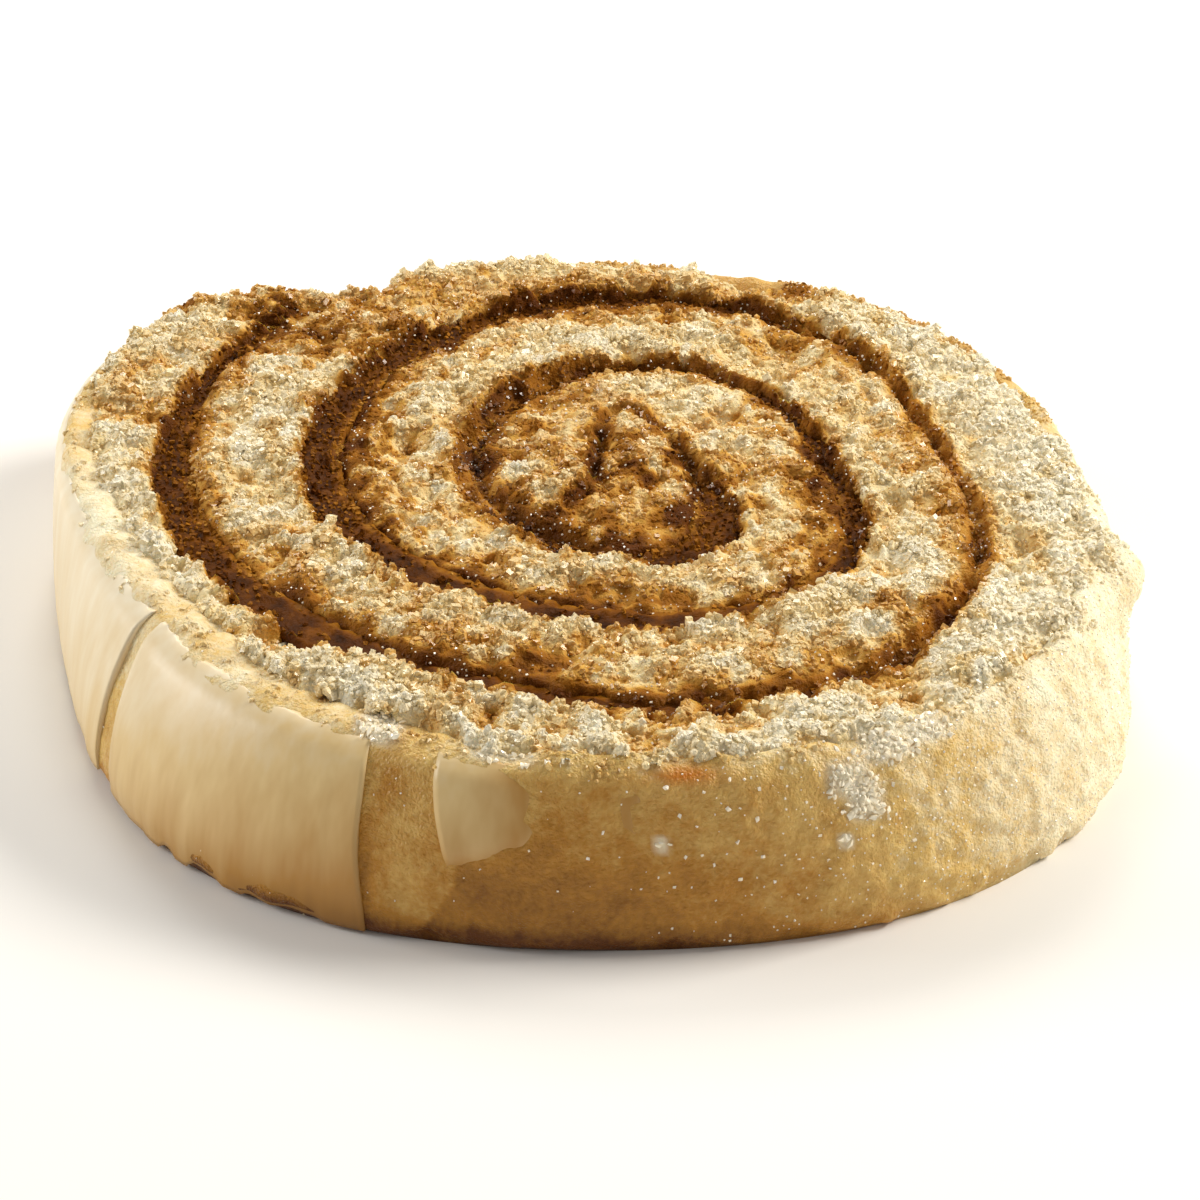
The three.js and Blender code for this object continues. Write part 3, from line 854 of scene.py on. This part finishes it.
def grain_tree(roundness):
    """Scatters uneven grains, from boxes (0) to balls (2), where a stored look allows it."""
    tree, given = new_tree("scatter grains",
                           {"Spacing": "Float", "Smallest": "Float", "Largest": "Float",
                            "Unevenness": "Float", "Seed": "Int", "Where": "String",
                            "Smooth": "Bool"})
    points = add_node(tree, "GeometryNodeDistributePointsOnFaces",
                      {"distribute_method": "POISSON", "Density Max": 3e7},
                      {"Mesh": given["Geometry"], "Distance Min": given["Spacing"],
                       "Density Factor": stored(tree, given["Where"]), "Seed": given["Seed"]})
    if roundness:
        lump = add_node(tree, "GeometryNodeMeshIcoSphere", {"Subdivisions": roundness})
    else:
        lump = add_node(tree, "GeometryNodeMeshCube", {"Size": (1.5, 1.5, 1.5)})
    turn = random_number(tree, 1, "FLOAT_VECTOR", {1: (2 * math.pi,) * 3})
    squash = random_number(tree, 2, "FLOAT_VECTOR", {0: (0.6,) * 3, 1: (1.4,) * 3})
    size = random_number(tree, 3, links={2: given["Smallest"], 3: given["Largest"]})
    scale = add_node(tree, "ShaderNodeVectorMath", {"operation": "SCALE"},
                     {0: squash, "Scale": size})
    grains = add_node(tree, "GeometryNodeInstanceOnPoints", {},
                      {"Points": points.outputs["Points"], "Instance": lump.outputs["Mesh"],
                       "Rotation": turn, "Scale": scale.outputs[0]})
    toned = add_node(tree, "GeometryNodeStoreNamedAttribute",
                     {"data_type": "FLOAT", "domain": "INSTANCE", "Name": "tone"},
                     {"Geometry": grains.outputs["Instances"], "Value": random_number(tree, 4)})
    real = add_node(tree, "GeometryNodeRealizeInstances", {},
                    {"Geometry": toned.outputs["Geometry"]})
    bend = add_node(tree, "ShaderNodeTexNoise", {"Scale": 1 / (0.35 * MM), "Detail": 1.0})
    centred = add_node(tree, "ShaderNodeVectorMath",
                       {"operation": "SUBTRACT", 1: (0.5, 0.5, 0.5)}, {0: bend.outputs["Color"]})
    shift = add_node(tree, "ShaderNodeVectorMath", {"operation": "SCALE"},
                     {0: centred.outputs[0], "Scale": given["Unevenness"]})
    bent = add_node(tree, "GeometryNodeSetPosition", {},
                    {"Geometry": real.outputs["Geometry"], "Offset": shift.outputs[0]})
    return end_tree(tree, bent, given["Material"], {"Shade Smooth": given["Smooth"]})


def run_tree(name, tree, source_mesh, values):
    """A plain mesh piece made by a node tree from a source mesh and named values."""
    piece = bpy.data.objects.new(name, source_mesh.copy())
    scene.collection.objects.link(piece)
    modifier = piece.modifiers.new("make", "NODES")
    modifier.node_group = tree
    for item in tree.interface.items_tree:
        if item.in_out == "INPUT" and item.name in values:
            modifier[item.identifier] = values[item.name]
    evaluated = piece.evaluated_get(bpy.context.evaluated_depsgraph_get())
    made = bpy.data.meshes.new_from_object(evaluated)
    made.name = name
    piece.modifiers.clear()
    piece.data = made
    print(name, "has", sum(len(face.vertices) - 2 for face in made.polygons), "triangles")
    return piece


# %% Where each kind of grain lies
def read_values(mesh, name):
    """Reads back the numbers stored for each point of a mesh."""
    values = np.zeros(len(mesh.vertices), dtype=np.float32)
    mesh.attributes[name].data.foreach_get("value", values)
    return values


def read_places(mesh):
    """The points of a mesh, in millimetres."""
    places = np.zeros(3 * len(mesh.vertices), dtype=np.float32)
    mesh.vertices.foreach_get("co", places)
    return places.reshape(-1, 3) / MM


x, y, z = read_places(crumb.data).T
clear = read_values(crumb.data, "clear")
upward = np.append(np.ones(len(x) - 1), 0)
standing = smooth_step(read_values(crumb.data, "relief"), -0.55, 0.3)
wet = smooth_step(read_values(crumb.data, "soak_and_shade"), 0.5, 0.65)
sparkling = np.clip(1 + 1.2 * noise(x / 2.6, y / 2.6, 71), 0.1, 2)
look_layers(crumb.data, {
    "fine_grains": clear * upward * (0.5 + 0.5 * standing) * (1 - wet),
    "coarse_grains": clear * standing * upward * (1 - wet),
    "wet_grains": clear * upward * wet * (1 - 0.7 * smooth_step(-y, 4, 14)),
    "sunk_grains": read_values(crumb.data, "sunk") * upward,
    "sugar_spots": upward * (0.1 + 0.15 * read_values(crumb.data, "soak_and_shade")) * sparkling,
})
SUGARY_SIDE = (328, 1.3, 27)
LUMPY_SIDE = (292, 1, 14)
# Broken icing on the skin: angle, height, width and depth.
ICING_SPOTS = [(296, 11.6, 1.5, 1.1), (297.3, 10.0, 1.3, 1.3), (300.5, 12.9, 1.8, 0.8),
               (305, 13.3, 1.6, 0.7), (295, 7.4, 0.5, 0.5), (248.5, 13.4, 1.9, 0.4),
               (262.5, 13.5, 2.4, 0.45), (278, 8.2, 0.5, 0.5)]
x, y, z = read_places(body.data).T
angle = skin_angle(x, y)
on_side = (z > 0.6) * (z < SLICE_THICKNESS - 0.4) * (read_values(body.data, "skin") > 0.99)
clumped = noise(x / 1.8, y / 1.8, 92) + 0.6 * noise(x / 0.8, y / 0.8, 93)
smooth_lip = (lip_width(angle) - CRUMB_INSET) / LIP_REACH
rim_grains = smooth_step(z + 0.9 * clumped, 12.9, 13.6) * (z > 12) * (1 - 0.75 * smooth_lip)
look_layers(body.data, {"rim_grains": rim_grains,
                        "sugar_spots": on_side * np.clip(bell(angle, SUGARY_SIDE) + 0.02, 0, 1),
                        "sugar_lumps": on_side * bell(angle, LUMPY_SIDE) * (z > 5),
                        "icing": spot_amount(angle, z, ICING_SPOTS, 4) * (z > 0.6)})

# %% Scatter the grains
scatter_flakes = grain_tree(0)
scatter_nodules = grain_tree(1)
scatter_lumps = grain_tree(2)


def grain_values(where, seed, look, spacing=0.42, sizes=(0.1, 0.24), uneven=0.35, smooth=False):
    """Inputs of the grain tree, from sizes in millimetres."""
    return {"Where": where, "Seed": seed, "Material": look, "Spacing": spacing * MM,
            "Smallest": sizes[0] * MM, "Largest": sizes[1] * MM, "Unevenness": uneven * MM,
            "Smooth": smooth}


GRAINS = [
    ("crumb_nodules_large", crumb, scatter_nodules,
     grain_values("fine_grains", 3, loose_crumb, 0.58, (0.14, 0.3), smooth=True)),
    ("crumb_nodules_small", crumb, scatter_nodules,
     grain_values("fine_grains", 4, loose_crumb, 0.5, (0.1, 0.2))),
    ("crumb_flakes", crumb, scatter_flakes, grain_values("fine_grains", 6, loose_crumb)),
    ("crumb_flakes_coarse", crumb, scatter_flakes,
     grain_values("coarse_grains", 8, loose_crumb, 0.6, (0.16, 0.34))),
    ("crumb_lumps", crumb, scatter_lumps,
     grain_values("coarse_grains", 5, loose_crumb, 2.2, (0.22, 0.4), 0.8)),
    ("crumb_in_trench", crumb, scatter_flakes, grain_values("sunk_grains", 7, loose_crumb)),
    ("crumb_wet", crumb, scatter_nodules, grain_values("wet_grains", 10, wet_crumb, 0.46)),
    ("crumb_on_rim", body, scatter_nodules,
     grain_values("rim_grains", 9, loose_crumb, 0.38, (0.1, 0.3))),
]
for name, source, scatter_tree, values in GRAINS:
    grains = run_tree(name, scatter_tree, source.data, values)
    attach(grains, "root")

# %% [markdown]
# ## Sugar
# Sugar that has come out of the sponge as it dried sits on the cut and on the right of the
# skin as clear crystals. They are flat-sided and very small, so each one flashes white
# where it faces the lamp: that is the sparkle in the photograph.

# %% Sugar crystals
sugar, tree = new_material("clear sugar crystals")
tint = colour_ramp(tree, [(0.3, "fffaf0"), (0.7, "fff0cc")], size_noise(tree, 0.4))
add_surface(tree, {"Roughness": 0.12, "IOR": 1.54}, {"Base Color": tint})
SUGAR_KINDS = [
    ("sugar_on_crumb", crumb, grain_values("sugar_spots", 11, sugar, 0.36, (0.04, 0.1), 0.1)),
    ("sugar_on_skin", body, grain_values("sugar_spots", 12, sugar, 0.42, (0.04, 0.1), 0.1)),
    ("sugar_lumps_on_skin", body, grain_values("sugar_lumps", 14, sugar, 2.0, (0.08, 0.17), 0.3)),
]
for name, source, values in SUGAR_KINDS:
    crystals = run_tree(name, scatter_flakes, source.data, values)
    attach(crystals, "root")

# %% [markdown]
# ## Icing chips
# Where the white icing was thick it has broken into small lumps: at the rim on the right
# of the front, along the top of the panels and on their edges. They are the same scattered
# lumps as the crumb, but close together and only on a few named spots.

# %% Icing chips
icing_white, tree = new_material("broken white icing")
tint = colour_ramp(tree, [(0.3, "fff8e4"), (0.7, "ffefcb")], size_noise(tree, 0.7))
add_surface(tree, {"Roughness": 0.3, "IOR": 1.5, "Coat Weight": 0.6, "Coat Roughness": 0.1},
            {"Base Color": tint})
chips = run_tree("icing_chips", scatter_nodules, body.data,
                 grain_values("icing", 15, icing_white, 0.26, (0.1, 0.3), 0.6))
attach(chips, "root")

# %% [markdown]
# ## The filling
# The filling is a dark paste rolled up in the sheet, so it is a band that follows the
# spiral and runs through the slice. A node tree sweeps a tall section along the spiral's
# line: the line's points carry the band's half width, and the section carries how high
# each of its points stands. Noise then makes the top lumpy, as paste torn by a knife is.

# %% Node tree that sweeps the band
FILLING_TOP = 13.1
FILLING_COVER = 1.8
FILLING_FOOT = 0.6
FILLING_OVERLAP = 0.3
FILLING_TORN_OFF = 0.7
PASTE_LUMP = 0.9
PASTE_LUMP_HEIGHT = 1.5


def band_tree():
    """Sweeps a tall band along a line whose points carry a half width."""
    tree, given = new_tree("sweep filling", {"Foot": "Float", "Lump Size": "Float",
                                             "Lump Height": "Float", "Across": "Int"})
    line = add_node(tree, "GeometryNodeMeshToCurve", {}, {"Mesh": given["Geometry"]})
    level = add_node(tree, "GeometryNodeSetCurveNormal", {"mode": "Z_UP"},
                     {"Curve": line.outputs["Curve"]})
    section = add_node(tree, "GeometryNodeCurvePrimitiveQuadrilateral",
                       {"mode": "RECTANGLE", "Width": 2.0, "Height": 2.0})
    fine = add_node(tree, "GeometryNodeResampleCurve", {},
                    {"Curve": section.outputs["Curve"], "Count": given["Across"]})
    spot = add_node(tree, "GeometryNodeInputPosition")
    split = add_node(tree, "ShaderNodeSeparateXYZ", {}, {0: spot.outputs[0]})
    share = add_node(tree, "ShaderNodeMapRange", {"From Min": -1.0, "From Max": 1.0},
                     {"Value": split.outputs["Y"]})
    marked = add_node(tree, "GeometryNodeStoreNamedAttribute",
                      {"data_type": "FLOAT", "domain": "POINT", "Name": "rise"},
                      {"Geometry": fine.outputs["Curve"], "Value": share.outputs["Result"]})
    swept = add_node(tree, "GeometryNodeCurveToMesh", {"Fill Caps": True},
                     {"Curve": level.outputs["Curve"], "Scale": stored(tree, "half"),
                      "Profile Curve": marked.outputs["Geometry"]})
    lumps = add_node(tree, "ShaderNodeTexNoise", {"Detail": 2.0}, {})
    lump_scale = add_node(tree, "ShaderNodeMath", {"operation": "DIVIDE", 0: 1.0},
                          {1: given["Lump Size"]})
    tree.links.new(lump_scale.outputs[0], lumps.inputs["Scale"])
    height = add_node(tree, "ShaderNodeMapRange", {},
                      {"Value": stored(tree, "rise"), "To Min": given["Foot"],
                       "To Max": stored(tree, "top")})
    lift = add_node(tree, "ShaderNodeMath", {"operation": "MULTIPLY_ADD"},
                    {0: lumps.outputs["Fac"], 1: given["Lump Height"], 2: height.outputs["Result"]})
    here = add_node(tree, "ShaderNodeSeparateXYZ", {}, {0: spot.outputs[0]})
    place = add_node(tree, "ShaderNodeCombineXYZ", {},
                     {"X": here.outputs["X"], "Y": here.outputs["Y"], "Z": lift.outputs[0]})
    raised = add_node(tree, "GeometryNodeSetPosition", {},
                      {"Geometry": swept.outputs["Mesh"], "Position": place.outputs[0]})
    return end_tree(tree, raised, given["Material"])


# %% Filling material and piece
PASTE_STOPS = [(0.3, "381c04"), (0.5, "552d06"), (0.7, "78450c"), (0.95, "a56e1f")]

paste, tree = new_material("dark spiced sugar paste")
lighter = scaled(tree, read_look(tree, "inner"), 0.3, size_noise(tree, 2.4))
add_surface(tree, {"Roughness": 0.45, "IOR": 1.47, "Specular IOR Level": 0.04},
            {"Base Color": colour_ramp(tree, PASTE_STOPS, lighter),
             "Normal": bumps(tree, size_noise(tree, 0.4, 2.0), 0.7, 0.25)})

line_mesh = bpy.data.meshes.new("filling line")
line_places = np.column_stack([station_place, np.zeros(len(station_place))]) * MM
line_mesh.from_pydata(line_places.tolist(), [(i, i + 1) for i in range(len(line_places) - 1)], [])
sunk_top = FILLING_TOP - FILLING_TORN_OFF - FILLING_COVER * (1 - station_strength)
look_layers(line_mesh, {"half": (station_half + FILLING_OVERLAP) * MM, "top": sunk_top * MM})
filling = run_tree("filling_band", band_tree(), line_mesh,
                   {"Foot": FILLING_FOOT * MM, "Lump Size": PASTE_LUMP * MM,
                    "Lump Height": PASTE_LUMP_HEIGHT * MM, "Across": 36, "Material": paste})
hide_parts("filling")
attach(filling, "root")
x, y, z = read_places(filling.data).T
in_front = smooth_step(-y, 4, 14) * smooth_step(x + 30, 0, 10)
on_top = (z > FILLING_TOP - 1.6 - FILLING_COVER) * (1 - 0.85 * in_front)
edge, outward, station = filling_distance(x, y)
across = (edge / station_half[station] + 1) * (1 - 2 * outward)
inner = np.clip(2 * across - 1, 0, 1)
look_layers(filling.data, {"soak_and_shade": 0.9 - 0.25 * inner + 0.22 * noise(x / 1.1, y / 1.1, 65),
                           "inner": inner, "skin": 0 * x, "bake_and_shade": 0 * x, "fine_grains": on_top})
wet_grains = run_tree("crumb_on_filling", scatter_flakes, filling.data,
                      grain_values("fine_grains", 13, wet_crumb, 0.45))
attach(wet_grains, "root")

# %% [markdown]
# ## Sugar glaze
# Thin icing was brushed on the rolled cake and set in panels. Each is a film well under a
# millimetre thick that follows the skin, with a clean edge where it cracked off. It is
# made as a closed shell on a fine grid: the film thins towards its upper and lower edges
# and carries soft vertical ridges, which catch the light as brush marks.

# %% Glaze panels
GLAZE_FILM = 0.36
GLAZE_ROOT = 0.35
GLAZE_SINK = 1.1
SKIN_LIKE_SHADE = 0.6
GLAZE_STEP = 0.4
GLAZE_TOP = 0.95
GLAZE_BOTTOM = 0.025
# Shades of the glaze, from 0 for white to 1 for brown: on the left, then what is added in
# front, at the foot and at the foot in front, and last how much whiter the top edge is.
# What is added at the foot is painted shade.
LEFT_SHADE = 0.06
FRONT_SHADE = 0.24
FOOT_PAINTED_SHADE = 0.18
FRONT_FOOT_PAINTED_SHADE = 0.46
TOP_EDGE_WHITENESS = 0.06
FRONT_PANEL_SHADE = 0.46


def glaze_shade(angle, share):
    """How brown the glaze looks: whiter on the left, browner in front, and darker at its foot as
    painted shade.
    """
    toward_front = smooth_step(angle, 190, 262)
    # Painted shade towards the foot of the glaze, stronger in front.
    lower = (FOOT_PAINTED_SHADE + FRONT_FOOT_PAINTED_SHADE * toward_front) * (1 - share) ** 1.6
    top_edge = TOP_EDGE_WHITENESS * smooth_step(share, 0.88, 0.94)
    shade = LEFT_SHADE + FRONT_SHADE * toward_front + lower - top_edge
    return shade + (FRONT_PANEL_SHADE - shade) * smooth_step(angle, 256, 272)


def glaze_shell(name, columns_of, fade_of):
    """A closed film on the skin; columns_of gives its two edges in degrees at each height,
    and fade_of how far it has sunk into the skin."""
    left, right = columns_of(np.array([0.5]))
    columns = int(np.radians(right[0] - left[0]) * BELLY_RADIUS / GLAZE_STEP)
    rows = int(SLICE_THICKNESS * 0.9 / GLAZE_STEP)
    down, across = np.meshgrid(np.linspace(0, 1, rows), np.linspace(0, 1, columns), indexing="ij")
    left, right = columns_of(down)
    angle = left + (right - left) * across
    along = np.radians(angle) * BELLY_RADIUS
    ragged = 0.009 * noise(along / 2.6, 0 * angle, 95) + 0.006 * noise(along / 0.5, 0 * angle, 96)
    foot = 0.05 * foot_raggedness(angle)
    share = GLAZE_TOP + (GLAZE_BOTTOM - GLAZE_TOP) * down + ragged * (1 - down) + foot * down
    ridges = 0.05 * noise(along / 3.4, down * 0.4, 97) + 0.03 * noise(along / 1.1, down * 0.7, 98)
    edges = smooth_step(down, 0, 0.12) * (1 - 0.5 * smooth_step(down, 0.85, 1))
    worn = fade_of(across, down) * (1 + 0.25 * noise(along / 1.5, 6 * down, 99))
    film = (GLAZE_FILM + ridges) * edges - GLAZE_SINK * worn
    layers = []
    for reach in (film, 0 * film - GLAZE_ROOT):
        x, y = around(angle, skin_radius(angle, share) - shoulder_rounding(share) + reach)
        z = share * SLICE_THICKNESS - shoulder_fall(share)
        layers.append(np.stack([x, y, z], axis=-1).reshape(-1, 3))
    index = np.arange(rows * columns).reshape(rows, columns)
    a, b, c, d = index[:-1, :-1], index[1:, :-1], index[1:, 1:], index[:-1, 1:]
    front = np.stack([a, b, c, d], axis=-1).reshape(-1, 4)
    under = index.size
    border = np.concatenate([index[0, :-1], index[:-1, -1], index[-1, :0:-1], index[:0:-1, 0]])
    following = np.roll(border, -1)
    wall = np.stack([border, following, following + under, border + under], axis=-1)
    mesh = bpy.data.meshes.new(name)
    faces = np.concatenate([front, front[:, ::-1] + under, wall])
    mesh.from_pydata((np.concatenate(layers) * MM).tolist(), [], faces.tolist())
    shade = glaze_shade(angle, share)
    shade += (SKIN_LIKE_SHADE - shade) * smooth_step(worn * GLAZE_SINK, 0, GLAZE_FILM)
    look_layers(mesh, {"shade": np.tile(shade.ravel(), 2)})
    mesh.shade_smooth()
    return mesh


# %% Glaze material and pieces
GLAZE_STOPS = [(0.0, "f5e8cb"), (0.3, "e2c48a"), (0.65, "b8853a"), (1.0, "7a4c1c")]
PANELS = [
    ("glaze_film_left", "glaze_left",
     lambda down: (150 + np.sin(4 * down), 211 - down), lambda across, down: 0 * across),
    ("glaze_film_middle", "glaze_middle",
     lambda down: (213.5 + down, 248.4 + 1.7 * down + 0.15 * np.sin(9 * down)),
     lambda across, down: 0 * across),
    ("glaze_film_front", "glaze_front",
     lambda down: (256.9 - 1.1 * np.cos(np.pi * (1.3 * down - 0.15)) + 1.5 * down, 277 - 4 * down),
     lambda across, down: smooth_step(across + 1.3 * smooth_step(down, 0.35, 0.9), 0.15, 0.9)),
]

glaze, tree = new_material("set sugar glaze")
streaks = scaled(tree, size_noise(tree, 1.8, 2.0, (1, 1, 0.12)), 0.3, -0.15)
shade = clamped_sum(tree, read_look(tree, "shade"), streaks)
add_surface(tree, {"Roughness": 0.38, "IOR": 1.5},
            {"Base Color": colour_ramp(tree, GLAZE_STOPS, shade),
             "Normal": bumps(tree, size_noise(tree, 1.0, 2.0, (1, 1, 0.2)), 0.25, 0.1)})
for name, node_name, columns_of, fade_of in PANELS:
    film_piece = bpy.data.objects.new(name, glaze_shell(name, columns_of, fade_of))
    scene.collection.objects.link(film_piece)
    film_piece.data.materials.append(glaze)
    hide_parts(node_name)
    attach(film_piece, "root")
